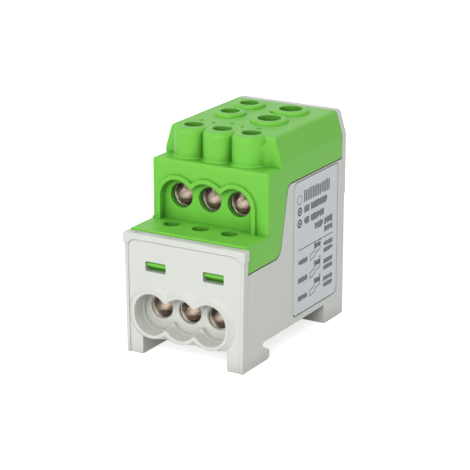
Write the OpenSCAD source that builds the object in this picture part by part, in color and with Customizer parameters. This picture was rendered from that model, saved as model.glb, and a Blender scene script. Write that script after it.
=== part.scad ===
// Two-level power distribution block for a 35 mm mounting rail.
// A grey tub clips to the rail and holds one stepped metal conductor. A green cover snaps over it.
// Six small wires enter at the front on two levels, and one small and one large wire at the rear.
// X runs along the rail, Y from the front to the rear, Z up. All sizes are in millimetres.

/* [Housing] */
// Width of the housing along the rail
body_w = 37; // [36:0.5:42]
// Depth of the housing from its front wall to its rear face
body_d = 58.6; // [58.2:0.2:62]
// Thickness of the side walls
wall = 1.7; // [1.4:0.1:1.9]
// Thickness of the front wall
front_t = 1.9; // [1.6:0.1:2.1]
// Thickness of the rear wall
rear_t = 1.7; // [1.4:0.1:1.9]
// Thickness of the floor above the rail
floor_t = 1.7; // [1.4:0.1:2]
// Height of the front wall
front_h = 34.9; // [33:0.1:35.2]
// How much wider the front wall is at its top than at its foot
flare = 1; // [0:0.2:2]
// How far the border along the top of the front wall stands proud
border_h = 0.55; // [0.3:0.05:0.8]
// How far the border along the sides of the front wall stands proud
side_h = 0.25; // [0.1:0.05:0.4]
// Height of the border along the top of the front wall
border_top = 1.8; // [1.2:0.1:2.4]
// Width of the border along the sides of the front wall
border_side = 1; // [0.6:0.1:1.4]
// How far the upper part of the rear wall stands proud
rear_proud = 0.5; // [0:0.1:0.8]
// Distance of the parting line below the lower step, at the front of each side
joint_drop = 8.1; // [7:0.1:9]
// Distance of the parting line below the ledge, at the rear of each side
joint_drop_rear = 5.7; // [5:0.1:8]

/* [Rail foot] */
// Width of the mounting rail
rail_w = 35; // [35:0.1:35.2]
// Thickness of the rail's flange
rail_t = 1; // [1:0.1:1.2]
// Room between the rail and the rear foot
rail_gap = 1; // [0.6:0.1:1.2]
// Height of the feet below the seat on the rail
foot_h = 5.7; // [5.4:0.1:6.4]
// Width of each front foot
leg_w = 5; // [4:0.5:6]
// Distance from the front wall to the bottom of the hook's notch
hook_y = 11; // [10.6:0.2:11.4]
// How far the hook reaches under the rail
hook_reach = 3.65; // [3:0.05:4]

/* [Cover] */
// How far the lower step stands above the front wall
step_over = 0.7; // [0.5:0.1:1.2]
// Distance from the front wall to the face above the lower step
step_y = 13.4; // [13:0.1:13.6]
// Height of the face above the lower step
face_h = 17.3; // [16.8:0.1:17.8]
// Depth of the ledge below the screw tubes
ledge_d = 7.5; // [7:0.1:8]
// Height of the upper block above the ledge
block_h = 8.3; // [8:0.1:9.5]
// Height above the ledge at which the shoulders start to lean in
shoulder_up = 1.3; // [0.8:0.1:2.4]
// How far the shoulders lean in on each side
shoulder_in = 2.1; // [1:0.1:2.4]
// Thickness of the cover's top, step and ledge
cover_t = 1.6; // [1.2:0.1:1.6]
// Width of the parting gap between cover and housing
parting = 0.35; // [0.15:0.05:0.4]

/* [Terminals] */
// Distance between neighbouring front terminals
pitch = 9.2; // [9:0.1:9.4]
// Offset of the terminals from the middle of the housing
entry_x = -0.9; // [-1.2:0.1:1.2]
// Radius of the front wire bores
wire_r = 2.9; // [2.7:0.05:2.95]
// Radius at the coned mouths of the front wire bores
mouth_r = 3.4; // [3.2:0.05:3.5]
// Height of the lower wire bores
lower_z = 13.1; // [12.8:0.1:13.4]
// Distance of the upper wire bores below the ledge
upper_drop = 10.4; // [10:0.1:11]
// Distance from the front wall to the lower clamp screws
lower_screw_y = 10.3; // [10:0.1:10.8]
// Distance from the face above the lower step to the upper clamp screws
upper_screw_in = 8.8; // [8.6:0.1:9.2]
// Distance of each rear wire bore from the terminals' middle
rear_dx = 6.85; // [6.6:0.05:7.2]
// Distance of the rear wire bores below the ledge
rear_drop = 11.7; // [11.3:0.1:12]
// Radius of the small rear wire bore
small_r = 3.7; // [3.4:0.1:3.8]
// Radius of the large rear wire bore
large_r = 5; // [4.6:0.1:5]
// Distance from the rear face to the nearer screw of the small rear entry
small_screw_in = 9.5; // [9:0.1:10]
// Distance between the small rear entry's screws
small_screw_gap = 11; // [10.6:0.1:11.6]
// Distance from the rear face to the nearer screw of the large rear entry
large_screw_in = 9.7; // [9.4:0.1:10]
// Distance between the large rear entry's screws
large_screw_gap = 12.6; // [12.2:0.1:12.8]

/* [Clamp screws] */
// Thread radius of the small clamp screws
m_small = 3; // [2.6:0.1:3]
// Thread radius of the large clamp screws
m_large = 4; // [3.8:0.1:4.1]
// Length of the small clamp screws
small_len = 10; // [9:0.5:10]
// Length of the large clamp screws
large_len = 12; // [11:0.5:12]
// Radial clearance between a screw and its threaded hole
thread_gap = 0.07; // [0.03:0.01:0.1]
// Radius of the driver holes above the lower screws
lower_access_r = 2.4; // [2:0.1:2.5]
// Radius of the driver holes above the other small screws
small_access_r = 2.75; // [2:0.05:2.8]
// Radius of the driver holes above the large screws
large_access_r = 3.35; // [2.8:0.05:3.5]

/* [Wire openings] */
// Radius of the lobes of the lower funnel
lobe_r = 5.35; // [5.1:0.05:5.6]
// Straight height between the round ends of a lobe
lobe_straight = 1.2; // [0:0.1:1.3]
// Height of the middle of the lower funnel
lobe_z = 12.35; // [12.2:0.05:12.8]
// How far the lower funnel's rim stands proud
rim_h = 1.2; // [0.8:0.1:1.6]
// Width of the lower funnel's rim
rim_w = 1; // [0.8:0.1:1.2]
// Radius of the arches of the upper recess
arch_r = 5.3; // [5.1:0.05:5.5]
// Distance of the arches' centres below the ledge
arch_drop = 10.6; // [10.2:0.1:11]
// How far the upper recess's rim stands proud
arch_rim_h = 0.9; // [0.6:0.1:1.2]
// Width of the upper recess's rim
arch_rim_w = 1.3; // [1:0.1:1.5]

/* [Rail latch] */
// Width of the latch
latch_w = 16; // [14:0.5:18]
// How far the latch's nose reaches under the rail
latch_reach = 1.3; // [1:0.1:1.5]
// How far the latch slides
latch_travel = 2.4; // [2.2:0.1:2.6]
// How far the latch's tab stands out behind the rear foot
latch_tab = 3; // [2.6:0.2:5]
// Wire diameter of the latch's spring
spring_wire = 0.36; // [0.3:0.02:0.4]
// Outer radius of the latch's spring
spring_r = 1.4; // [1.2:0.1:1.5]
// Turns of the latch's spring
spring_turns = 4.5; // [3.5:0.5:5]

/* [Label] */
// Thickness of the printed label
label_t = 0.25; // [0.15:0.05:0.4]
// Distance from the slanted parting line to the label
label_gap = 3.4; // [3:0.1:6]
// Distance from the label to the rear face
label_rear = 4.3; // [3:0.1:8]
// Distance of the label above the rail
label_up = 2; // [1.8:0.1:6]

/* [Hidden] */

$fn = 64;
over = 1; // how far a cut runs past the face it opens
nip = 0.006; // how far the rounds between lobes cut into them, so that their arcs cross
seat_gap = 0.1; // clearance between two pieces that only locate each other

// Heights and depths that stack up from the front wall
step_z = front_h + step_over;
ledge_z = step_z + face_h;
top_z = ledge_z + block_h;
shoulder_z = ledge_z + shoulder_up;
upper_z = ledge_z - upper_drop;
rear_z = ledge_z - rear_drop;
arch_z = ledge_z - arch_drop;
joint_low = step_z - joint_drop;
joint_high = ledge_z - joint_drop_rear;
block_y = step_y + ledge_d;
upper_screw_y = step_y + upper_screw_in;
small_screw_y = [body_d - small_screw_in - small_screw_gap, body_d - small_screw_in];
large_screw_y = [body_d - large_screw_in - large_screw_gap, body_d - large_screw_in];

// Housing
half_w = body_w / 2;
inner_w = body_w - 2 * wall;
rear_y = body_d - rear_t;
floor_z = foot_h + floor_t;
border_corner = 2.5;
pocket_d = 0.25;
pocket_front = front_t / 4;
pocket_back = 0.35;
pocket_rib = 0.6; // between two marker pockets
pocket_margin = 2;
border_flare = 0.3;
lip_drop = 1.4;
rear_proud_z = step_z + 0.9;
rear_hole_gap = 0.5;
rear_rim_w = 1.6;
rear_rim_h = 0.5;
rear_funnel = 1;
shoulder_w = half_w - shoulder_in;
shoulder_r = 3;
top_r = 1.2;
joint_slant = [step_y + 7.2, step_y + 11.5];
joint_corner = [3.5, 2.2];

// Rail foot
slot_z = foot_h - rail_t - 0.15;
hook_tip = 2.6;
rear_foot_y = hook_y + rail_w + rail_gap;
leg_x = half_w - leg_w;

// Conductor
tongue_t = 1.3;
side_room = 0.6;
cond_w = inner_w - 2 * (tongue_t + abs(entry_x) + side_room);
cond_x = entry_x;
cond_front = 5.2;
cond_low_top = lower_z + wire_r + 6.3;
cond_web = [step_y + 3.9, step_y + 8.1];
cond_bottom = rear_z - large_r - 2.2;
cond_top = ledge_z - cover_t - seat_gap;
cond_front_high = step_y + 3.9;
cond_rear = rear_y - 0.3;
wire_chamfer = 0.2;
small_chamfer = 0.5;
mouth_depth = 1.4;
front_bore_depth = 10.6;
small_bore_end = small_screw_y[0] - m_small - 1.6;
large_bore_end = large_screw_y[0] - m_large - 0.8;
wire_x = [for (i = [-1 : 1]) entry_x + i * pitch];
small_x = entry_x - rear_dx;
large_x = entry_x + rear_dx;

// Clamp screws stand backed off, just clear of the wire bores
screw_clear = 0.3;
head_room = 0.5;
lower_screw_z = lower_z + wire_r + screw_clear;
upper_screw_z = upper_z + wire_r + screw_clear;
small_screw_z = rear_z + small_r + screw_clear;
large_screw_z = rear_z + large_r + screw_clear;

// Cover
cover_front = front_t + 0.05;
cover_rear = rear_y - seat_gap;
face_t = 3.6;
recess_depth = 1.8;
face_edge = 1; // radius of the face's upright edges
plug_r = m_small + 0.3;
plug_large_r = m_large + 0.3;
tube_r = 4.9;
tube_edge = 1.5;
tube_proud = 0.15;
tube_fore = 1.2; // how far the tubes stand in front of their driver holes
tube_fillet = 2;
tube_foot = 0.6;
boss_h = 0.9;
boss_small_r = 4.7;
boss_large_r = 5.4;
tongue_h = 2;
skirt_t = 1.5;
skirt_z = step_z - 5.6;

// Snap windows and hooks
window_w = 6.5;
window_h = 2.8;
window_z = [front_h - 7.7 - window_h, front_h - 7.7];
window_x = [-9.2, 9.2];
rear_window_z = [top_z - 3 - window_h, top_z - 3];
hook_face = 0.35; // how far a front hook's face lies behind the front wall's
hook_side = 0.15;
hook_land = 0.5;
hook_gap = 0.25;
rear_hook_in = 0.9;

// Funnel
rim_flank = 1.1;
funnel_plate = 0.8;
funnel_back = cond_front - funnel_plate;
plastic_hole_r = mouth_r + 0.15;
hole_chamfer = 0.2;
inner_step_y = 3;
inner_step = 0.45;

// Latch
latch_z = [0.95, slot_z];
latch_gap = 0.15;
lip_z = 0.8;
lip_w = 2.6;
latch_front = rear_foot_y - rail_gap - latch_reach;
latch_back = body_d + latch_tab;
pocket_w = 2 * spring_r + 0.5;
pocket_y = [body_d - 9.2, body_d - 3];
stop_len = 1.7;
stop_y = [pocket_y[1] - 0.05 - stop_len, pocket_y[1] - 0.05];

// Label
label_r = 1.6;
label_sunk = 0.05;
label_x = half_w - label_t - label_sunk;
groove_w = 0.3;
groove_d = 0.8;
label_y = [joint_slant[1] + label_gap, body_d - label_rear];
label_z = [foot_h + label_up, joint_high - 0.7];

// The part stands on its feet, with the origin under the middle of its box
mid_y = (latch_back - rim_h) / 2;

// --- Helpers -------------------------------------------------------------

function xy(p) = [p[0], p[1]];
function unit(v) = v / norm(v);
function turn(a) = a > 180 ? a - 360 : (a < -180 ? a + 360 : a);

// Outline through corners given as [x, y, radius], with each corner rounded
function rounded(corners, steps = 8) = [
    for (i = [0 : len(corners) - 1])
    each let (
        n = len(corners),
        before = xy(corners[(i + n - 1) % n]),
        here = xy(corners[i]),
        after = xy(corners[(i + 1) % n]),
        r = corners[i][2],
        u = unit(before - here),
        v = unit(after - here),
        half = acos(u * v) / 2,
        reach = r / tan(half),
        centre = here + unit(u + v) * r / sin(half),
        from = here + u * reach - centre,
        to = here + v * reach - centre,
        a = atan2(from[1], from[0]),
        sweep = turn(atan2(to[1], to[0]) - a))
    r == 0
        ? [here]
        : [for (k = [0 : steps]) centre + r * [cos(a + sweep * k / steps), sin(a + sweep * k / steps)]]];

// Extrudes a profile drawn in Y and Z, centred across the housing
module across(width) {
    rotate([90, 0, 90]) linear_extrude(height = width, center = true) children();
}

// Extrudes a profile drawn in X and Z from one Y to another
module between_y(y0, y1) {
    translate([0, y1, 0]) rotate([90, 0, 0]) linear_extrude(height = y1 - y0) children();
}

// Extrudes a profile drawn in Y and Z outwards from one X
module from_x(x, width) {
    translate([x, 0, 0]) rotate([90, 0, 90]) linear_extrude(height = width) children();
}

// A round bar along Y
module bar_y(x, z, r, y0, y1) {
    translate([x, y1, z]) rotate([90, 0, 0]) cylinder(h = y1 - y0, r = r);
}

// A box from its lowest to its highest corner
module block(low, high) {
    translate(low) cube(high - low);
}

// One lobe: a circle stretched upright
module lobe(x, z, r, straight) {
    for (s = [-1, 1]) translate([x, z + s * straight / 2]) circle(r = r);
    translate([x - r, z - straight / 2]) square([2 * r, straight]);
}

// Three lobes in a row whose cusps are blunted with a small round
module lobes(z, r, straight, blunt) {
    rise = sqrt(pow(r + blunt - nip, 2) - pow(pitch / 2, 2));
    difference() {
        union() {
            for (x = wire_x) lobe(x, z, r, straight);
            for (i = [0, 1]) polygon([
                [wire_x[i], z - straight / 2], [wire_x[i] + pitch / 2, z - straight / 2 - rise],
                [wire_x[i + 1], z - straight / 2], [wire_x[i + 1], z + straight / 2],
                [wire_x[i] + pitch / 2, z + straight / 2 + rise], [wire_x[i], z + straight / 2]]);
        }
        for (i = [0, 1]) for (s = [-1, 1])
            translate([wire_x[i] + pitch / 2, z + s * (straight / 2 + rise)]) circle(r = blunt);
    }
}

// Three arches in a row, open at the bottom
module arches(r, blunt, foot) {
    rise = sqrt(pow(r + blunt - nip, 2) - pow(pitch / 2, 2));
    difference() {
        union() {
            for (x = wire_x) translate([x, arch_z]) circle(r = r);
            for (i = [0, 1]) polygon([
                [wire_x[i], arch_z], [wire_x[i + 1], arch_z], [wire_x[i] + pitch / 2, arch_z + rise]]);
            translate([wire_x[0] - r, foot]) square([2 * r + 2 * pitch, arch_z - foot]);
        }
        for (i = [0, 1]) translate([wire_x[i] + pitch / 2, arch_z + rise]) circle(r = blunt);
    }
}

// The side's area below the parting line, moved by dz and, on its slant, by dy
module below_joint(dz, dy) {
    polygon(rounded([
        [-5, -5, 0], [body_d + 5, -5, 0], [body_d + 5, joint_high + dz, 0],
        [joint_slant[1] + dy, joint_high + dz, joint_corner[1]],
        [joint_slant[0] + dy, joint_low + dz, joint_corner[0]], [-5, joint_low + dz, 0]]));
}

// --- Housing -------------------------------------------------------------

// Side view of the housing with the rail hook and the rear foot
module side_outline() {
    polygon(rounded([
        [0, 0, 0.4], [hook_y + hook_reach, 0, 1.4], [hook_y + hook_reach, hook_tip, 0.5],
        [hook_y, slot_z - 0.1, 0.4], [hook_y, foot_h, 0.5], [rear_foot_y, foot_h, 0.4],
        [rear_foot_y, 0, 0.4], [body_d, 0, 0.6], [body_d, joint_high + 4, 0], [0, joint_high + 4, 0]]));
}

module tub_shell() {
    difference() {
        across(body_w) intersection() {
            side_outline();
            below_joint(0, 0);
        }
        block([-inner_w / 2, front_t, floor_z], [inner_w / 2, rear_y, top_z]);
        block([-leg_x, -over, -over], [leg_x, rear_foot_y - over, foot_h]);
        block([-half_w - over, -over, joint_low - over], [half_w + over, front_t, top_z]);
    }
}

// The front wall flares out towards its top
module front_wall() {
    between_y(0, front_t) difference() {
        polygon([[-half_w, 0], [half_w, 0], [half_w + flare / 2, front_h], [-half_w - flare / 2, front_h]]);
        translate([-leg_x, -over]) square([2 * leg_x, foot_h + over]);
    }
}

// Proud border along the top and, lower, along both sides of the front wall
module front_border() {
    top_w = half_w + flare / 2;
    lip_w = top_w + border_flare;
    lip_low = front_h - border_top - lip_drop;
    between_y(-side_h, 0) difference() {
        polygon([[-half_w, 0], [half_w, 0], [top_w, lip_low + over], [-top_w, lip_low + over]]);
        border_inside(top_w);
    }
    between_y(-border_h, front_t) difference() {
        border_lip(lip_w, lip_low);
        border_inside(top_w);
    }
    between_y(-0.01, front_t) border_lip(lip_w, lip_low);
}

// The upper end of the front wall, which is a little wider than the wall below it
module border_lip(w, low) {
    polygon(rounded([[-w, low, 0.3], [w, low, 0.3], [w, front_h, 0.5], [-w, front_h, 0.5]]));
}

// The front wall's area inside its border
module border_inside(top_w) {
    polygon(rounded([
        [-half_w + border_side, -5, 0], [half_w - border_side, -5, 0],
        [top_w - border_side, front_h - border_top, border_corner],
        [-top_w + border_side, front_h - border_top, border_corner]]));
}

// The rear wall follows the cover's shoulders
module rear_outline(low) {
    polygon(rounded([
        [-half_w, low, 0], [half_w, low, 0], [half_w, shoulder_z, shoulder_r], [shoulder_w, top_z, top_r],
        [-shoulder_w, top_z, top_r], [-half_w, shoulder_z, shoulder_r]]));
}

module rear_wall() {
    between_y(rear_y, body_d) rear_outline(foot_h);
    between_y(body_d - 0.01, body_d + rear_proud) rear_outline(rear_proud_z);
}

// Lobed tube that leads three wires to the lower bores, with a flared rim
module funnel() {
    back = 0.3;
    front = 0.1;
    r = lobe_r + rim_w;
    intersection() {
        for (x = wire_x) for (s = [-1, 1])
            translate([x, back, lobe_z + s * lobe_straight / 2]) rotate([90, 0, 0]) cylinder(
                h = back + rim_h - front,
                r1 = r + rim_flank * (rim_h + back),
                r2 = r + rim_flank * front);
        block([-half_w, -rim_h, foot_h], [half_w, front_t, front_h]);
    }
    between_y(-rim_h, cond_front) lobes(lobe_z, r, lobe_straight, 0.4);
}

module funnel_cut() {
    between_y(-rim_h - over, inner_step_y) lobes(lobe_z, lobe_r, lobe_straight, 0.9);
    between_y(inner_step_y - over, funnel_back) lobes(lobe_z, lobe_r - inner_step, lobe_straight, 0.4);
    for (x = wire_x) plastic_hole(x, lower_z, funnel_back, cond_front + over);
}

// A hole through the plastic in front of a wire bore, with a chamfered edge
module plastic_hole(x, z, front, back) {
    bar_y(x, z, plastic_hole_r, front - over, back);
    translate([x, front + hole_chamfer, z]) rotate([90, 0, 0])
        cylinder(h = 2 * hole_chamfer, r1 = plastic_hole_r, r2 = plastic_hole_r + 2 * hole_chamfer);
}

// Posts and ribs that carry and locate the conductor
module tub_ribs() {
    rib = 1.6;
    sink = 0.5; // how far a side rib runs into its wall
    side_x = cond_w / 2 + seat_gap;
    post_x = cond_w / 2 - 3;
    post_y = cond_web[1] + 2;
    side_top = joint_high - 6;
    for (x = [cond_x - post_x, cond_x + post_x - rib])
        block([x, post_y, floor_z - over], [x + rib, rear_y + over, cond_bottom]);
    block([cond_x - post_x, post_y, floor_z - over], [cond_x + post_x, post_y + rib, cond_bottom]);
    for (y = [post_y + 4, rear_y - 8]) {
        block([-inner_w / 2 - sink, y, floor_z - over], [cond_x - side_x, y + rib, side_top]);
        block([cond_x + side_x, y, floor_z - over], [inner_w / 2 + sink, y + rib, side_top]);
    }
}

// Guide for the latch: open to the front, the rear and, between two lips, below
module latch_channel() {
    block([-latch_w / 2 - latch_gap, rear_foot_y - over, lip_z],
        [latch_w / 2 + latch_gap, body_d + over, latch_z[1] + latch_gap]);
    block([-latch_w / 2 + lip_w, rear_foot_y - over, -over],
        [latch_w / 2 - lip_w, body_d + over, lip_z + over]);
}

// Peg that the latch's spring pushes against
module latch_stop() {
    reach = pocket_w / 2 - 0.3;
    block([-reach, stop_y[0], latch_z[0] + 0.2], [reach, stop_y[1], foot_h + 0.5]);
}

module snap_windows() {
    for (x = window_x) between_y(-border_h - over, front_t + over)
        polygon(rounded([
            [x - window_w / 2, window_z[0], 0.5], [x + window_w / 2, window_z[0], 0.5],
            [x + window_w / 2, window_z[1], 0.3], [x - window_w / 2, window_z[1], 0.3]]));
    for (x = window_x) between_y(rear_y - over, body_d + rear_proud + over)
        translate([x - window_w / 2, rear_window_z[0]]) square([window_w, window_h]);
}

// Three shallow marker pockets along the top of the front wall
module marker_pockets() {
    width = (body_w - 2 * pocket_margin) / 3;
    reach = (width - pocket_rib) / 2;
    for (i = [-1 : 1])
        block([i * width - reach, pocket_front, front_h - pocket_d],
            [i * width + reach, front_t - pocket_back, front_h + over]);
}

module rear_rims() {
    for (e = [[small_x, small_r], [large_x, large_r]])
        bar_y(e[0], rear_z, e[1] + rear_hole_gap + rear_rim_w, rear_y, body_d + rear_proud + rear_rim_h);
}

module rear_entries() {
    for (e = [[small_x, small_r], [large_x, large_r]]) {
        r = e[1] + rear_hole_gap;
        bar_y(e[0], rear_z, r, rear_y - over, body_d + rear_proud + over);
        translate([e[0], body_d + rear_proud + rear_rim_h + 0.1, rear_z]) rotate([90, 0, 0])
            cylinder(h = rear_funnel + 0.1, r1 = r + rear_funnel + 0.1, r2 = r);
    }
}

// Recess for the label, with a deeper groove round it
module label_recess() {
    from_x(label_x, over) label_outline(groove_w);
    from_x(half_w - groove_d, over) difference() {
        label_outline(groove_w);
        label_outline(-0.1);
    }
}

module base_housing() {
    color([0.84, 0.85, 0.83]) difference() {
        union() {
            tub_shell();
            front_wall();
            front_border();
            rear_wall();
            rear_rims();
            funnel();
            tub_ribs();
        }
        funnel_cut();
        snap_windows();
        marker_pockets();
        rear_entries();
        label_recess();
        latch_channel();
    }
    color([0.84, 0.85, 0.83]) latch_stop();
}

// --- Cover ---------------------------------------------------------------

// Side view of the cover's stepped top
module cover_side() {
    difference() {
        polygon(rounded([
            [cover_front, 5, 0], [cover_front, step_z, 0.5], [step_y, step_z, 0], [step_y, ledge_z, 1.1],
            [block_y, ledge_z, 0], [block_y, top_z, 1.2], [cover_rear, top_z, 0.2], [cover_rear, 5, 0]]));
        below_joint(parting, -parting);
    }
}

// Front view of one step of the cover, with its side edges rounded
module step_outline(height, r) {
    polygon(rounded([[-half_w, 5, 0], [half_w, 5, 0], [half_w, height, r], [-half_w, height, r]]));
}

module cover_outside() {
    intersection() {
        across(body_w) cover_side();
        union() {
            between_y(cover_front, step_y + 2) step_outline(step_z, 0.7);
            between_y(step_y, block_y + 2) step_outline(ledge_z, 1);
            between_y(block_y, cover_rear) rear_outline(5);
        }
    }
}

// Hollow under the cover, one wall inside its outer faces
module cover_inside() {
    slope_in = wall + 0.2;
    intersection() {
        across(inner_w) polygon([
            [cover_front + skirt_t, 0], [cover_front + skirt_t, step_z - cover_t],
            [step_y + face_t, step_z - cover_t], [step_y + face_t, ledge_z - cover_t],
            [block_y + wall, ledge_z - cover_t], [block_y + wall, top_z - cover_t],
            [cover_rear - wall, top_z - cover_t], [cover_rear - wall, cond_top + 1.2],
            [cover_rear + over, cond_top + 1.2], [cover_rear + over, 0]]);
        between_y(0, cover_rear + over) polygon([
            [-inner_w / 2, 0], [inner_w / 2, 0],
            [inner_w / 2, shoulder_z - 0.4], [shoulder_w - slope_in, top_z],
            [-shoulder_w + slope_in, top_z], [-inner_w / 2, shoulder_z - 0.4]]);
    }
}

// Tongue that runs inside the housing's side walls along the parting line
module cover_tongue() {
    for (s = [-1, 1]) {
        translate([s * (inner_w / 2 - seat_gap - tongue_t / 2), 0, 0])
            across(tongue_t) tongue_side() below_joint(-tongue_h, tongue_h);
        translate([s * (inner_w / 2 - tongue_t / 2), 0, 0])
            across(tongue_t + 2 * seat_gap) tongue_side() below_joint(parting, -parting);
    }
}

// Side view of the tongue, from above the area given to it up into the cover's wall
module tongue_side() {
    intersection() {
        difference() {
            below_joint(tongue_h + 1, -tongue_h);
            children();
        }
        translate([cover_front, 0]) square([cond_rear - cover_front - 4, top_z]);
    }
}

// Tabs behind the front wall, with hooks that catch in its windows
module front_tabs() {
    tab_x = inner_w / 2 - seat_gap;
    tab_back = cover_front + 1.3;
    low = window_z[0] - 0.6;
    root = skirt_z + 0.5;
    top = window_z[1] - hook_gap;
    nose = 0.4; // height of the hooks' chamfered upper edge
    block([-tab_x, cover_front, skirt_z], [tab_x, cover_front + skirt_t, step_z - 1]);
    for (x = window_x) translate([x, 0, 0]) across(window_w - 2 * hook_side)
        polygon([
            [tab_back, low], [tab_back, root], [cover_front, root], [cover_front, top],
            [hook_face + 0.3, top], [hook_face, top - nose], [hook_face, top - nose - hook_land],
            [cover_front, window_z[0] + 0.2], [cover_front, low]]);
}

module rear_hooks() {
    low = rear_window_z[0] + 0.4;
    top = rear_window_z[1] - hook_gap;
    land = rear_window_z[1] - 1.2; // a hook's slope ends here
    tip = cover_rear + rear_hook_in;
    for (x = window_x) translate([x, 0, 0]) across(window_w - 2 * hook_side)
        polygon([
            [cover_rear - 0.5, low], [cover_rear, low], [tip, land], [tip, top], [cover_rear - 0.5, top]]);
}

// Sleeve that guides a driver to one screw and keeps the screw captive
module sleeve(x, y, r, low, high) {
    translate([x, y, low]) cylinder(h = high - low, r = r);
}

// Room for one backed-off screw, and the narrower driver hole above it
module driver_hole(x, y, access_r, screw_r, screw_top, high) {
    ceiling = screw_top + head_room;
    translate([x, y, ceiling]) cylinder(h = high - ceiling + over, r = access_r);
    translate([x, y, 0]) cylinder(h = ceiling, r = screw_r);
}

// Boss with a rounded upper edge
module boss(x, y, r, edge, low, high) {
    translate([x, y, 0]) rotate_extrude() {
        translate([0, low]) square([r, high - low - edge]);
        translate([0, high - edge - 0.01]) square([r - edge, edge + 0.01]);
        intersection() {
            translate([r - edge, high - edge]) circle(r = edge);
            translate([r - edge - 0.01, high - edge - 0.01]) square([edge + 0.02, edge + 0.02]);
        }
    }
}

// Fillets that lead the outer tubes into the face of the upper block
module tube_fillets() {
    y = upper_screw_y - tube_fore;
    rise = y - block_y + tube_fillet;
    run = sqrt(pow(tube_r + tube_fillet, 2) - rise * rise);
    for (s = [-1, 1]) intersection() {
        translate([0, 0, ledge_z - 0.5]) linear_extrude(height = block_h) difference() {
            polygon([
                [entry_x + s * pitch, y], [entry_x + s * (pitch + run), block_y - tube_fillet],
                [entry_x + s * (pitch + run), block_y + 0.5], [entry_x + s * pitch, block_y + 0.5]]);
            translate([entry_x + s * (pitch + run), block_y - tube_fillet]) circle(r = tube_fillet);
        }
        across(2 * body_w) polygon([
            [block_y - 2 * tube_fillet, ledge_z - over], [block_y + over, ledge_z - over],
            [block_y + over, top_z - tube_edge], [block_y, top_z - tube_edge],
            [block_y - 2 * tube_fillet, top_z - tube_edge - 2 * tube_fillet]]);
    }
}

// Small fillets round the feet of the tubes
module tube_feet() {
    intersection() {
        for (x = wire_x) translate([x, upper_screw_y - tube_fore, ledge_z]) rotate_extrude() difference() {
            translate([tube_r - over, -over]) square([tube_foot + over, tube_foot + over]);
            translate([tube_r + tube_foot, tube_foot]) circle(r = tube_foot);
        }
        block([-half_w, step_y, ledge_z - over], [half_w, block_y + 0.5, top_z]);
    }
}

// The face above the lower step has a recess of three arches with a proud rim
module arch_rim() {
    between_y(step_y - arch_rim_h, step_y + 0.5) intersection() {
        arches(arch_r + arch_rim_w, 0.5, step_z - 0.5);
        translate([-half_w, step_z - 0.5]) square([body_w, ledge_z]);
    }
}

module arch_cut() {
    between_y(step_y - arch_rim_h - over, step_y + recess_depth) arches(arch_r, 0.8, step_z);
    for (x = wire_x) plastic_hole(x, upper_z, step_y + recess_depth, step_y + face_t + over);
}

// Rounds the upright front edges of the face above the lower step
module face_edges() {
    for (s = [0, 1]) mirror([s, 0, 0]) difference() {
        block([half_w - face_edge, step_y - over, step_z + 0.3],
            [half_w + over, step_y + face_edge, ledge_z + over]);
        translate([half_w - face_edge, step_y + face_edge, 0]) cylinder(h = top_z, r = face_edge);
    }
}

module cover() {
    color([0.45, 0.76, 0.28]) difference() {
        union() {
            difference() {
                cover_outside();
                cover_inside();
                face_edges();
            }
            cover_tongue();
            front_tabs();
            rear_hooks();
            arch_rim();
            tube_fillets();
            tube_feet();
            for (x = wire_x) {
                sleeve(x, lower_screw_y, plug_r + 1, cond_low_top + head_room, step_z - 0.5);
                boss(x, upper_screw_y - tube_fore, tube_r, tube_edge, ledge_z - cover_t, top_z + tube_proud);
            }
            for (y = small_screw_y) {
                sleeve(small_x, y, plug_r + 1.1, cond_top + head_room, top_z - 0.5);
                boss(small_x, y, boss_small_r, boss_h, top_z - 0.5, top_z + boss_h);
            }
            for (y = large_screw_y) {
                sleeve(large_x, y, plug_large_r + 1.1, cond_top + head_room, top_z - 0.5);
                boss(large_x, y, boss_large_r, boss_h, top_z - 0.5, top_z + boss_h);
            }
        }
        arch_cut();
        for (x = wire_x) {
            driver_hole(x, lower_screw_y, lower_access_r, plug_r, lower_screw_z + small_len, step_z);
            driver_hole(
                x, upper_screw_y, small_access_r, plug_r, upper_screw_z + small_len, top_z + tube_proud);
        }
        for (y = small_screw_y)
            driver_hole(small_x, y, small_access_r, plug_r, small_screw_z + small_len, top_z + boss_h);
        for (y = large_screw_y)
            driver_hole(large_x, y, large_access_r, plug_large_r, large_screw_z + large_len, top_z + boss_h);
    }
}

// --- Conductor -----------------------------------------------------------

// A blind bore along +Z with a chamfered mouth and a drilled end
module wire_bore(r, depth, chamfer) {
    rotate_extrude() polygon([
        [0, -over], [r + chamfer + over, -over], [r + chamfer, 0],
        [r, chamfer], [r, depth], [0, depth + r * 0.4]]);
}

// A front bore has a wide coned mouth
module front_bore(x, z, front) {
    translate([x, front, z]) rotate([-90, 0, 0]) rotate_extrude() polygon([
        [0, -over], [mouth_r + wire_chamfer + over, -over], [mouth_r + wire_chamfer, 0],
        [mouth_r, wire_chamfer], [wire_r, mouth_depth], [wire_r, front_bore_depth],
        [0, front_bore_depth + wire_r * 0.4]]);
}

module rear_bore(x, r, end) {
    translate([x, cond_rear, rear_z]) rotate([90, 0, 0]) wire_bore(r, cond_rear - end, small_chamfer);
}

module threaded_hole(x, y, z, top, r) {
    chamfer = 0.4;
    translate([x, y, z]) cylinder(h = top - z + over, r = r);
    translate([x, y, top - chamfer]) cylinder(h = chamfer + 0.01, r1 = r, r2 = r + chamfer);
}

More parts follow.
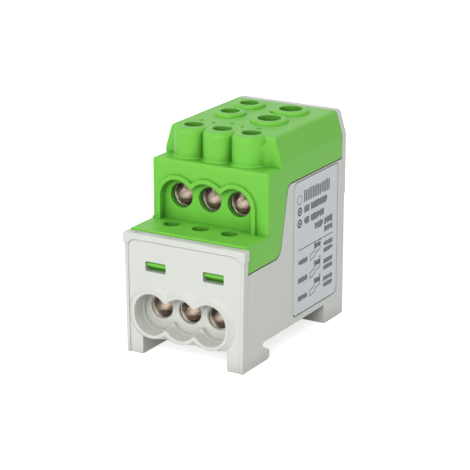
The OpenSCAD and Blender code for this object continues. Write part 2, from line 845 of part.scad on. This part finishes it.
module conductor_body() {
    color([0.78, 0.77, 0.73]) difference() {
        translate([cond_x, 0, 0]) across(cond_w) polygon(rounded([
            [cond_front, floor_z, 0.5], [cond_web[1], floor_z, 0.5], [cond_web[1], cond_bottom, 1],
            [cond_rear, cond_bottom, 0.5], [cond_rear, cond_top, 0.5], [cond_front_high, cond_top, 0.5],
            [cond_front_high, cond_low_top, 0.8], [cond_front, cond_low_top, 0.5]]));
        for (x = wire_x) {
            front_bore(x, lower_z, cond_front);
            threaded_hole(x, lower_screw_y, lower_z, cond_low_top, m_small);
            front_bore(x, upper_z, cond_front_high);
            threaded_hole(x, upper_screw_y, upper_z, cond_top, m_small);
        }
        rear_bore(small_x, small_r, small_bore_end);
        for (y = small_screw_y) threaded_hole(small_x, y, rear_z, cond_top, m_small);
        rear_bore(large_x, large_r, large_bore_end);
        for (y = large_screw_y) threaded_hole(large_x, y, rear_z, cond_top, m_large);
    }
}

// --- Clamp screws --------------------------------------------------------

// Set screw with a hexagon socket and a coned point
module clamp_screw(x, y, z, r, length, key) {
    shank = r - thread_gap;
    edge = 0.4;
    translate([x, y, z]) difference() {
        rotate_extrude() polygon([
            [0, 0], [shank * 0.6, 0], [shank, shank * 0.4], [shank, length - edge], [shank - edge, length],
            [0, length]]);
        translate([0, 0, length - key]) cylinder(h = key + over, r = key / sqrt(3), $fn = 6);
    }
}

module small_screw(x, y, z) {
    color([0.62, 0.62, 0.6]) clamp_screw(x, y, z, m_small, small_len, m_small);
}

module large_screw(y) {
    color([0.62, 0.62, 0.6]) clamp_screw(large_x, y, large_screw_z, m_large, large_len, m_large);
}

// --- Rail latch ----------------------------------------------------------

module rail_latch() {
    tab_y = body_d + rear_proud + 0.4; // the tab narrows behind the rear wall
    ear_w = 3.1;
    slot_w = 5.2; // slot for a screwdriver
    slot_y = body_d + rear_proud + latch_tab / 2;
    color([0.2, 0.2, 0.21]) difference() {
        across(latch_w) polygon(rounded([
            [latch_front, latch_z[1], 0], [latch_front, latch_z[1] - 0.8, 0.2],
            [rear_foot_y + 0.4, latch_z[0], 0], [latch_back, latch_z[0], 0.4], [latch_back, latch_z[1], 0.8]]));
        block([-pocket_w / 2, pocket_y[0], -over], [pocket_w / 2, pocket_y[1], foot_h]);
        for (s = [0, 1]) mirror([s, 0, 0])
            block([latch_w / 2 - ear_w, tab_y, -over], [latch_w / 2 + over, latch_back + over, foot_h]);
        block([-slot_w / 2, slot_y - 1, -over], [slot_w / 2, slot_y, foot_h]);
    }
}

// Round wire wound along Y between the latch's pocket and the housing's peg
module latch_spring() {
    ring = 16;
    sides = 6;
    wire = spring_wire / 2;
    mean = spring_r - wire;
    length = stop_y[0] - pocket_y[0] - 2 * wire - 0.04;
    count = floor(spring_turns * ring);
    points = [
        for (i = [0 : count])
        for (j = [0 : sides - 1])
        let (a = 360 * i / ring, b = 360 * j / sides, r = mean + wire * cos(b))
        [r * cos(a), length * i / count + wire * sin(b), r * sin(a)]];
    faces = [
        [for (j = [0 : sides - 1]) j],
        for (i = [0 : count - 1])
        for (j = [0 : sides - 1])
        [i * sides + j, (i + 1) * sides + j, (i + 1) * sides + (j + 1) % sides, i * sides + (j + 1) % sides],
        [for (j = [sides - 1 : -1 : 0]) count * sides + j]];
    color([0.7, 0.7, 0.72])
        translate([0, pocket_y[0] + wire + 0.02, (latch_z[0] + latch_z[1]) / 2]) polyhedron(points, faces);
}

// --- Label ---------------------------------------------------------------

module label_outline(grow) {
    polygon(rounded([
        [label_y[0] - grow, label_z[0] - grow, label_r], [label_y[1] + grow, label_z[0] - grow, label_r],
        [label_y[1] + grow, label_z[1] + grow, 0.6], [label_y[0] - grow, label_z[1] + grow, 2.2]]));
}

module side_label() {
    color([0.74, 0.77, 0.8]) from_x(label_x, label_t) label_outline(0);
}

// --- Nodes ---------------------------------------------------------------

module at_origin() {
    translate([0, -mid_y, 0]) children();
}

at_origin() base_housing();
at_origin() cover();
at_origin() conductor_body();
at_origin() small_screw(wire_x[0], lower_screw_y, lower_screw_z);  // lower_screw_1
at_origin() small_screw(wire_x[1], lower_screw_y, lower_screw_z);  // lower_screw_2
at_origin() small_screw(wire_x[2], lower_screw_y, lower_screw_z);  // lower_screw_3
at_origin() small_screw(wire_x[0], upper_screw_y, upper_screw_z);  // upper_screw_1
at_origin() small_screw(wire_x[1], upper_screw_y, upper_screw_z);  // upper_screw_2
at_origin() small_screw(wire_x[2], upper_screw_y, upper_screw_z);  // upper_screw_3
at_origin() small_screw(small_x, small_screw_y[0], small_screw_z);  // small_entry_screw_1
at_origin() small_screw(small_x, small_screw_y[1], small_screw_z);  // small_entry_screw_2
at_origin() large_screw(large_screw_y[0]);  // large_entry_screw_1
at_origin() large_screw(large_screw_y[1]);  // large_entry_screw_2
at_origin() rail_latch();
at_origin() latch_spring();
at_origin() side_label();
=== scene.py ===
import math
import random
import bpy
from mathutils import Matrix, Vector


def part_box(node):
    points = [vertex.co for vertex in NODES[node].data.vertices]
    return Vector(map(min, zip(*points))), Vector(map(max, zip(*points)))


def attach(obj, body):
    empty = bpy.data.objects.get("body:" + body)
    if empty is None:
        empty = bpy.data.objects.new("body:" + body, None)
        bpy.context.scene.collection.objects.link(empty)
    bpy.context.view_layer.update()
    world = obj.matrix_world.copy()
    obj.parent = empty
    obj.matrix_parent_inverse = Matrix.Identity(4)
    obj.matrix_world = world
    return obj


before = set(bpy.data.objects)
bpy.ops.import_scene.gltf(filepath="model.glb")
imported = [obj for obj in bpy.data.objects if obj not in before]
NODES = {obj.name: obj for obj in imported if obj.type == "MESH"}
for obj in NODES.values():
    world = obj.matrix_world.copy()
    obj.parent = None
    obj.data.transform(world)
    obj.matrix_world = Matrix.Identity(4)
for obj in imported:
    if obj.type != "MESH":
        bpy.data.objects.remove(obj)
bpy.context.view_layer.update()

MM = 0.001


# --- Camera ----------------------------------------------------------------

LENS, SENSOR = 154.96, 36
AZIMUTH, ELEVATION, ROLL = 30.06, 17.48, 0.1
AIM = (-13.68, 20.97, 20.64)
DISTANCE = 599.41


def place_camera():
    data = bpy.data.cameras.new("camera")
    data.sensor_width = SENSOR
    data.lens = LENS
    data.clip_start = 0.01
    data.clip_end = 10
    cam = bpy.data.objects.new("camera", data)
    bpy.context.scene.collection.objects.link(cam)
    azimuth, elevation, roll = map(math.radians, (AZIMUTH, ELEVATION, ROLL))
    aim = Vector(AIM) * MM
    back = Vector((
        math.sin(azimuth) * math.cos(elevation),
        -math.cos(azimuth) * math.cos(elevation),
        math.sin(elevation)))
    right = Vector((0, 0, 1)).cross(back).normalized()
    up = back.cross(right)
    right, up = (
        right * math.cos(roll) + up * math.sin(roll),
        up * math.cos(roll) - right * math.sin(roll))
    turn = Matrix((right, up, back)).transposed().to_4x4()
    cam.matrix_world = Matrix.Translation(aim + back * DISTANCE * MM) @ turn
    bpy.context.scene.camera = cam


# --- Node trees ------------------------------------------------------------

def link(tree, source, target):
    tree.links.new(source, target)


def math_node(tree, operation, a, b):
    node = tree.nodes.new("ShaderNodeMath")
    node.operation = operation
    for socket, value in zip(node.inputs, (a, b)):
        if isinstance(value, (int, float)):
            socket.default_value = value
        else:
            link(tree, value, socket)
    return node.outputs[0]


def map_range(tree, value, low, high):
    node = tree.nodes.new("ShaderNodeMapRange")
    link(tree, value, node.inputs["Value"])
    node.inputs["To Min"].default_value = low
    node.inputs["To Max"].default_value = high
    return node.outputs[0]


def mix_colour(tree, factor, a, b):
    node = tree.nodes.new("ShaderNodeMix")
    node.data_type = "RGBA"
    link(tree, factor, node.inputs[0])
    for socket, value in ((node.inputs[6], a), (node.inputs[7], b)):
        if isinstance(value, tuple):
            socket.default_value = (*value, 1)
        else:
            link(tree, value, socket)
    return node.outputs[2]


# --- Light and floor -------------------------------------------------------

AMBIENT_SIDE = 0.44
AMBIENT_TOP = 0.14
LAMP_AIM = (0, 0, 30)
FLOOR_REACH = 3.0
FLOOR_DROP = 0.1
FLOOR_TONE = 0.8
FLOOR_GLOW = 0.72


def light_world():
    world = bpy.data.worlds.new("studio")
    bpy.context.scene.world = world
    world.use_nodes = True
    tree = world.node_tree
    tree.nodes.clear()
    out = tree.nodes.new("ShaderNodeOutputWorld")
    mix = tree.nodes.new("ShaderNodeMixShader")
    light = tree.nodes.new("ShaderNodeBackground")
    light.inputs["Color"].default_value = (1, 1, 1, 1)
    direction = tree.nodes.new("ShaderNodeTexCoord")
    split = tree.nodes.new("ShaderNodeSeparateXYZ")
    link(tree, direction.outputs["Generated"], split.inputs[0])
    ambient = map_range(tree, split.outputs["Z"], AMBIENT_SIDE, AMBIENT_TOP)
    link(tree, ambient, light.inputs["Strength"])
    white = tree.nodes.new("ShaderNodeBackground")
    white.inputs["Color"].default_value = (1, 1, 1, 1)
    white.inputs["Strength"].default_value = 1
    path = tree.nodes.new("ShaderNodeLightPath")
    seen = math_node(tree, "MAXIMUM", path.outputs["Is Camera Ray"], path.outputs["Is Glossy Ray"])
    seen = math_node(tree, "MAXIMUM", seen, path.outputs["Is Transmission Ray"])
    link(tree, seen, mix.inputs[0])
    link(tree, light.outputs[0], mix.inputs[1])
    link(tree, white.outputs[0], mix.inputs[2])
    link(tree, mix.outputs[0], out.inputs[0])


def softbox(name, place, size, power, glossy=True):
    data = bpy.data.lights.new(name, "AREA")
    data.shape = "RECTANGLE"
    data.size, data.size_y = size
    data.energy = power
    lamp = bpy.data.objects.new(name, data)
    bpy.context.scene.collection.objects.link(lamp)
    lamp.location = place
    lamp.visible_glossy = glossy
    target = Vector(LAMP_AIM) * MM
    lamp.rotation_euler = (Vector(place) - target).to_track_quat("Z", "Y").to_euler()


def lay_floor():
    mesh = bpy.data.meshes.new("floor")
    corners = ((-1, -1), (1, -1), (1, 1), (-1, 1))
    mesh.from_pydata([(x * FLOOR_REACH, y * FLOOR_REACH, 0) for x, y in corners], [], [(0, 1, 2, 3)])
    floor = bpy.data.objects.new("floor", mesh)
    bpy.context.scene.collection.objects.link(floor)
    floor.location.z = -FLOOR_DROP * MM
    mat = bpy.data.materials.new("floor")
    mat.use_nodes = True
    tree = mat.node_tree
    tree.nodes.clear()
    out = tree.nodes.new("ShaderNodeOutputMaterial")
    add = tree.nodes.new("ShaderNodeAddShader")
    diffuse = tree.nodes.new("ShaderNodeBsdfDiffuse")
    diffuse.inputs["Color"].default_value = (FLOOR_TONE, FLOOR_TONE, FLOOR_TONE, 1)
    glow = tree.nodes.new("ShaderNodeEmission")
    glow.inputs["Color"].default_value = (1, 1, 1, 1)
    path = tree.nodes.new("ShaderNodeLightPath")
    seen = math_node(tree, "MAXIMUM", path.outputs["Is Camera Ray"], path.outputs["Is Glossy Ray"])
    link(tree, math_node(tree, "MULTIPLY", seen, FLOOR_GLOW), glow.inputs["Strength"])
    link(tree, diffuse.outputs[0], add.inputs[0])
    link(tree, glow.outputs[0], add.inputs[1])
    link(tree, add.outputs[0], out.inputs[0])
    mesh.materials.append(mat)


# --- Materials -------------------------------------------------------------

def millimetres(tree):
    coords = tree.nodes.new("ShaderNodeTexCoord")
    scale = tree.nodes.new("ShaderNodeMapping")
    scale.inputs["Scale"].default_value = (1 / MM, 1 / MM, 1 / MM)
    link(tree, coords.outputs["Object"], scale.inputs[0])
    return scale.outputs[0]


def noise(tree, where, size, detail=2.0):
    """Noise whose blotches are about size millimetres across."""
    node = tree.nodes.new("ShaderNodeTexNoise")
    node.inputs["Scale"].default_value = 1 / size
    node.inputs["Detail"].default_value = detail
    link(tree, where, node.inputs["Vector"])
    return node.outputs[0]


def waves(tree, where, axis, spacing, distortion):
    """Fine parallel lines, one every spacing millimetres along an axis."""
    node = tree.nodes.new("ShaderNodeTexWave")
    node.wave_type = "BANDS"
    node.bands_direction = axis
    node.inputs["Scale"].default_value = math.pi / 10 / spacing
    node.inputs["Distortion"].default_value = distortion
    node.inputs["Detail"].default_value = 1
    link(tree, where, node.inputs["Vector"])
    return node.outputs[1]


def rounded_normal(tree, radius):
    node = tree.nodes.new("ShaderNodeBevel")
    node.samples = 6
    node.inputs["Radius"].default_value = radius * MM
    return node.outputs[0]


def bump(tree, height, strength, depth, normal=None):
    node = tree.nodes.new("ShaderNodeBump")
    node.inputs["Strength"].default_value = strength
    node.inputs["Distance"].default_value = depth * MM
    link(tree, height, node.inputs["Height"])
    if normal is not None:
        link(tree, normal, node.inputs["Normal"])
    return node.outputs[0]


# Painted shade in holes and creases: how far the occlusion looks, and the occlusion span over which the
# colour turns to its shade colour
PAINTED_SHADE_REACH = 9
PAINTED_SHADE_SPAN = (0.18, 0.72)
PLASTIC_GLOSS = 0.22


def paint_crevice_shade(tree, colour, dark):
    """Paints shade into a colour: turns it to a dark one in holes and creases, by how enclosed the place
    is.
    """
    node = tree.nodes.new("ShaderNodeAmbientOcclusion")
    node.samples = 8
    node.inputs["Distance"].default_value = PAINTED_SHADE_REACH * MM
    ramp = tree.nodes.new("ShaderNodeMapRange")
    ramp.inputs["From Min"].default_value = PAINTED_SHADE_SPAN[0]
    ramp.inputs["From Max"].default_value = PAINTED_SHADE_SPAN[1]
    link(tree, node.outputs["AO"], ramp.inputs["Value"])
    return mix_colour(tree, ramp.outputs[0], dark, colour)


def shaded(tone, by):
    return tuple(min(1.0, c * by) for c in tone)


def plastic(name, tone, rough, edge, painted_shade=None):
    """Moulded plastic: faint flow marks, a fine grain, softened edges and, where a shade colour is
    given, painted shade in holes and creases.
    """
    mat = bpy.data.materials.new(name)
    mat.use_nodes = True
    tree = mat.node_tree
    shader = tree.nodes["Principled BSDF"]
    shader.inputs["Specular IOR Level"].default_value = PLASTIC_GLOSS
    where = millimetres(tree)
    cloud = noise(tree, where, 14, 3)
    speck = noise(tree, where, 0.9, 3)
    broad = mix_colour(tree, cloud, shaded(tone, 0.955), shaded(tone, 1.045))
    fine = mix_colour(tree, speck, shaded(tone, 0.965), shaded(tone, 1.035))
    half = tree.nodes.new("ShaderNodeMix")
    half.data_type = "RGBA"
    half.inputs[0].default_value = 0.4
    link(tree, broad, half.inputs[6])
    link(tree, fine, half.inputs[7])
    colour = half.outputs[2]
    # Painted shade: the colour darkens in holes and creases
    if painted_shade:
        colour = paint_crevice_shade(tree, colour, painted_shade)
    link(tree, colour, shader.inputs["Base Color"])
    sheen = map_range(tree, noise(tree, where, 3, 4), rough - 0.06, rough + 0.08)
    link(tree, sheen, shader.inputs["Roughness"])
    grain = noise(tree, where, 0.22, 2)
    wavy = noise(tree, where, 9, 1)
    low = bump(tree, wavy, 0.25, 0.05, rounded_normal(tree, edge))
    link(tree, bump(tree, grain, 0.16, 0.02, low), shader.inputs["Normal"])
    return mat


def metal(name, tone, dark, rough, axis, spacing, cut, edge=0.12):
    """Turned or drawn metal: tool lines along an axis and a clouded plating."""
    mat = bpy.data.materials.new(name)
    mat.use_nodes = True
    tree = mat.node_tree
    shader = tree.nodes["Principled BSDF"]
    shader.inputs["Metallic"].default_value = 1
    where = millimetres(tree)
    link(tree, mix_colour(tree, noise(tree, where, 5, 2), dark, tone), shader.inputs["Base Color"])
    sheen = map_range(tree, noise(tree, where, 2.5, 3), rough - 0.05, rough + 0.07)
    link(tree, sheen, shader.inputs["Roughness"])
    lines = waves(tree, where, axis, spacing, 0.6)
    link(tree, bump(tree, lines, cut, 0.03, rounded_normal(tree, edge)), shader.inputs["Normal"])
    return mat


def plain(name, tone, rough):
    """Ink: one tone with a slight unevenness."""
    mat = bpy.data.materials.new(name)
    mat.use_nodes = True
    tree = mat.node_tree
    shader = tree.nodes["Principled BSDF"]
    where = millimetres(tree)
    colour = mix_colour(tree, noise(tree, where, 0.5, 3), shaded(tone, 0.85), shaded(tone, 1.15))
    link(tree, colour, shader.inputs["Base Color"])
    sheen = map_range(tree, noise(tree, where, 1.5, 2), rough - 0.05, rough + 0.05)
    link(tree, sheen, shader.inputs["Roughness"])
    return mat


GREY_TONE = (0.71, 0.73, 0.68)
# Painted shade colour of the grey plastic in holes and creases
GREY_PAINTED_SHADE = (0.40, 0.41, 0.37)
GREEN_TONE = (0.185, 0.60, 0.065)
# Painted shade colour of the green plastic in holes and creases
GREEN_PAINTED_SHADE = (0.03, 0.19, 0.008)


def dress_nodes():
    """Gives every carried node its material and returns the cover's."""
    screw = metal("zinc_steel", (0.56, 0.57, 0.57), (0.42, 0.42, 0.41), 0.34, "Z", 1.0, 0.5)
    green = plastic("green_plastic", GREEN_TONE, 0.36, 0.42, GREEN_PAINTED_SHADE)
    looks = {
        "base_housing": plastic("grey_plastic", GREY_TONE, 0.42, 0.42, GREY_PAINTED_SHADE),
        "cover": green,
        "conductor_body": metal("nickel", (0.90, 0.83, 0.76), (0.78, 0.70, 0.62), 0.22, "Y", 0.35, 0.08),
        "rail_latch": plastic("latch_plastic", (0.075, 0.078, 0.082), 0.46, 0.2),
        "latch_spring": metal(
            "spring_wire", (0.62, 0.62, 0.62), (0.45, 0.45, 0.44), 0.28, "Y", 0.2, 0.1, 0.05),
        "side_label": plastic("label_film", (0.70, 0.745, 0.77), 0.34, 0.06),
    }
    for name, node in NODES.items():
        for slot in node.material_slots:
            slot.material = looks.get(name, screw)
    return green


# --- Pieces of mesh code ---------------------------------------------------

def tile_faces(first):
    """The six faces of a tile whose eight corners start at first."""
    return [tuple(first + i for i in face) for face in (
        (3, 2, 1, 0), (4, 5, 6, 7), (0, 1, 5, 4), (1, 2, 6, 5), (2, 3, 7, 6), (3, 0, 4, 7))]


def mesh_piece(name, verts, faces, corner, mat):
    """A piece that rides on the block, its points in millimetres from a corner in metres."""
    mesh = bpy.data.meshes.new(name)
    points = [(corner.x + x * MM, corner.y + y * MM, corner.z + z * MM) for x, y, z in verts]
    mesh.from_pydata(points, [], faces)
    mesh.materials.append(mat)
    piece = bpy.data.objects.new(name, mesh)
    bpy.context.scene.collection.objects.link(piece)
    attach(piece, "block")


# --- Raised marks on the cover's top ---------------------------------------

# Middle, length along X and length along Y of each plain mark, in millimetres
MARKS = [
    (-11.5, 17.9, 1.9, 0.45), (-11.2, 18.7, 0.5, 1.2), (1.0, 16.1, 1.9, 0.45), (1.6, 15.3, 0.5, 1.2),
    (-11.0, -2.6, 1.3, 0.5), (-6.6, -3.4, 0.6, 1.1), (-1.7, -1.6, 1.2, 0.5), (2.6, -3.4, 0.6, 1.1),
    (7.6, -2.6, 1.3, 0.5)]
MARK_H = 0.22
MARK_SINK = 0.05
MARK_SLOPE = 0.06


def raise_marks(mat):
    """Small plain pads beside the screw holes, on the flat of the cover."""
    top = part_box("base_housing")[1].z
    verts, faces = [], []
    for along, deep, wide, tall in MARKS:
        first = len(verts)
        for z, slope in ((-MARK_SINK, 0), (MARK_H, MARK_SLOPE)):
            for sx, sy in ((-1, -1), (1, -1), (1, 1), (-1, 1)):
                verts.append((along + sx * (wide / 2 - slope), deep + sy * (tall / 2 - slope), z))
        faces += tile_faces(first)
    mesh_piece("cover_marks", verts, faces, Vector((0, 0, top)), mat)


# --- Print on the side label -----------------------------------------------

# All places are in millimetres from the label's lower front corner: along it, then up
PRINT_H = 0.02
PRINT_SINK = 0.005
INK_DARK = (0.028, 0.032, 0.038)
INK_GREY = (0.15, 0.155, 0.18)
RULE = (2.9, 23.4, 18.85)
ROWS = 3
ROW_PITCH = 5.3
HEADING = (5.7, 21.2, 32.3, 3.5)
LINES = [
    (6.0, 9.2, 29.1, 2.1), (9.9, 19.8, 29.1, 2.1),
    (6.0, 9.2, 25.6, 2.1), (9.9, 17.8, 25.6, 2.1),
    (12.4, 17.5, 22.5, 2.1), (18.2, 23.4, 22.5, 2.1),
    (18.3, 23.2, 20.3, 1.7)]
ROW_LINES = [
    (2.8, 8.6, 14.3, 1.5), (12.3, 16.5, 16.9, 1.5),
    (18.0, 23.4, 16.0, 1.4), (18.0, 23.4, 14.1, 1.4)]


def add_quad(verts, faces, x, low, high):
    """A thin tile on the label, from its lower to its upper corner."""
    first = len(verts)
    for dx in (0, PRINT_H):
        for along, up in (low, (high[0], low[1]), high, (low[0], high[1])):
            verts.append((x + dx, along, up))
    faces += tile_faces(first)


def add_bar(verts, faces, x, start, end, width):
    """A thin bar between two points of the label."""
    a, b = Vector(start), Vector(end)
    side = Vector((a.y - b.y, b.x - a.x)).normalized() * width / 2
    first = len(verts)
    for dx in (0, PRINT_H):
        for corner in (a - side, b - side, b + side, a + side):
            verts.append((x + dx, corner.x, corner.y))
    faces += tile_faces(first)


def add_word(verts, faces, x, line, draw, cell=0.62, gap=0.16):
    """A run of short upright dashes in the place of one word."""
    start, end, low, height = line
    along = start
    while along + cell - gap <= end + 0.01:
        drop = draw.choice((0, 0, 0.25, 0.5)) * height * 0.5
        foot = low + drop * draw.choice((0, 1))
        add_quad(verts, faces, x, (along, foot), (along + cell - gap, low + height - drop / 2))
        along += cell


def add_disc(verts, faces, x, centre, outer, inner, sides=28):
    """A flat ring, or a disc where inner is nearly nothing."""
    first = len(verts)
    for dx in (0, PRINT_H):
        for radius in (outer, inner):
            for k in range(sides):
                turn = 2 * math.pi * k / sides
                side, up = radius * math.cos(turn), radius * math.sin(turn)
                verts.append((x + dx, centre[0] + side, centre[1] + up))
    for k in range(sides):
        n = (k + 1) % sides
        a, b = first + k, first + n
        low_in, high_out, high_in = sides, 2 * sides, 3 * sides
        faces += [
            (a, a + low_in, b + low_in, b),
            (a + high_out, b + high_out, b + high_in, a + high_in),
            (a, b, b + high_out, a + high_out),
            (a + low_in, a + high_in, b + high_in, b + low_in)]


def print_label():
    low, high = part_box("side_label")
    corner = Vector((high.x, low.y, low.z))
    sink = -PRINT_SINK
    draw = random.Random(7)
    verts, faces = [], []
    for line in LINES:
        add_word(verts, faces, sink, line, draw)
    add_quad(verts, faces, sink, (RULE[0], RULE[2] - 0.13), (RULE[1], RULE[2] + 0.13))
    for i in range(ROWS):
        drop = i * ROW_PITCH
        for start, end, up, height in ROW_LINES:
            add_word(verts, faces, sink, (start, end, up - drop, height), draw, 0.55, 0.13)
        wire_pictogram(verts, faces, sink, 9.9, 13.9 - drop)
    add_disc(verts, faces, sink, (3.2, 33.5), 1.35, 1.15)
    for up in (30.1, 26.6):
        add_disc(verts, faces, sink, (3.35, up), 1.3, 0.75)
        add_disc(verts, faces, sink, (3.35, up), 0.45, 0.02)
    mesh_piece("label_print", verts, faces, corner, plain("ink_dark", INK_DARK, 0.5))
    verts, faces = [], []
    add_word(verts, faces, sink, HEADING, draw, 1.05, 0.28)
    mesh_piece("label_heading", verts, faces, corner, plain("ink_grey", INK_GREY, 0.5))


def wire_pictogram(verts, faces, x, along, up):
    """Outline of a ferrule and of the stripped end beside it."""
    outline = [
        (0, 0), (0, 1.7), (2.9, 2.5), (2.9, 3.0), (5.9, 3.6),
        (5.9, 2.1), (2.9, 1.4), (2.9, 0.8), (0, 0)]
    points = [(along + a, up + b) for a, b in outline]
    for a, b in zip(points, points[1:]):
        add_bar(verts, faces, x, a, b, 0.26)
    for a, b in ((3.0, 4.4), (5.9, 4.9)):
        for tilt in (0.3, -0.3):
            start, end = (along + a - 0.35, up + b - tilt), (along + a + 0.35, up + b + tilt)
            add_bar(verts, faces, x, start, end, 0.2)


place_camera()
light_world()
softbox("key", (0.20, -0.92, 0.60), (0.7, 0.5), 7.8)
softbox("edge", (-0.75, -0.60, 0.30), (0.12, 0.5), 0.6)
softbox("right", (0.95, 0.10, 0.10), (0.4, 0.2), 1.0)
softbox("rear", (-0.30, 0.95, 0.15), (0.4, 0.3), 0.9, glossy=False)
softbox("top", (-0.30, 0.10, 1.00), (0.4, 0.4), 2.2)
lay_floor()
raise_marks(dress_nodes())
print_label()

bpy.context.scene.view_settings.view_transform = "Standard"
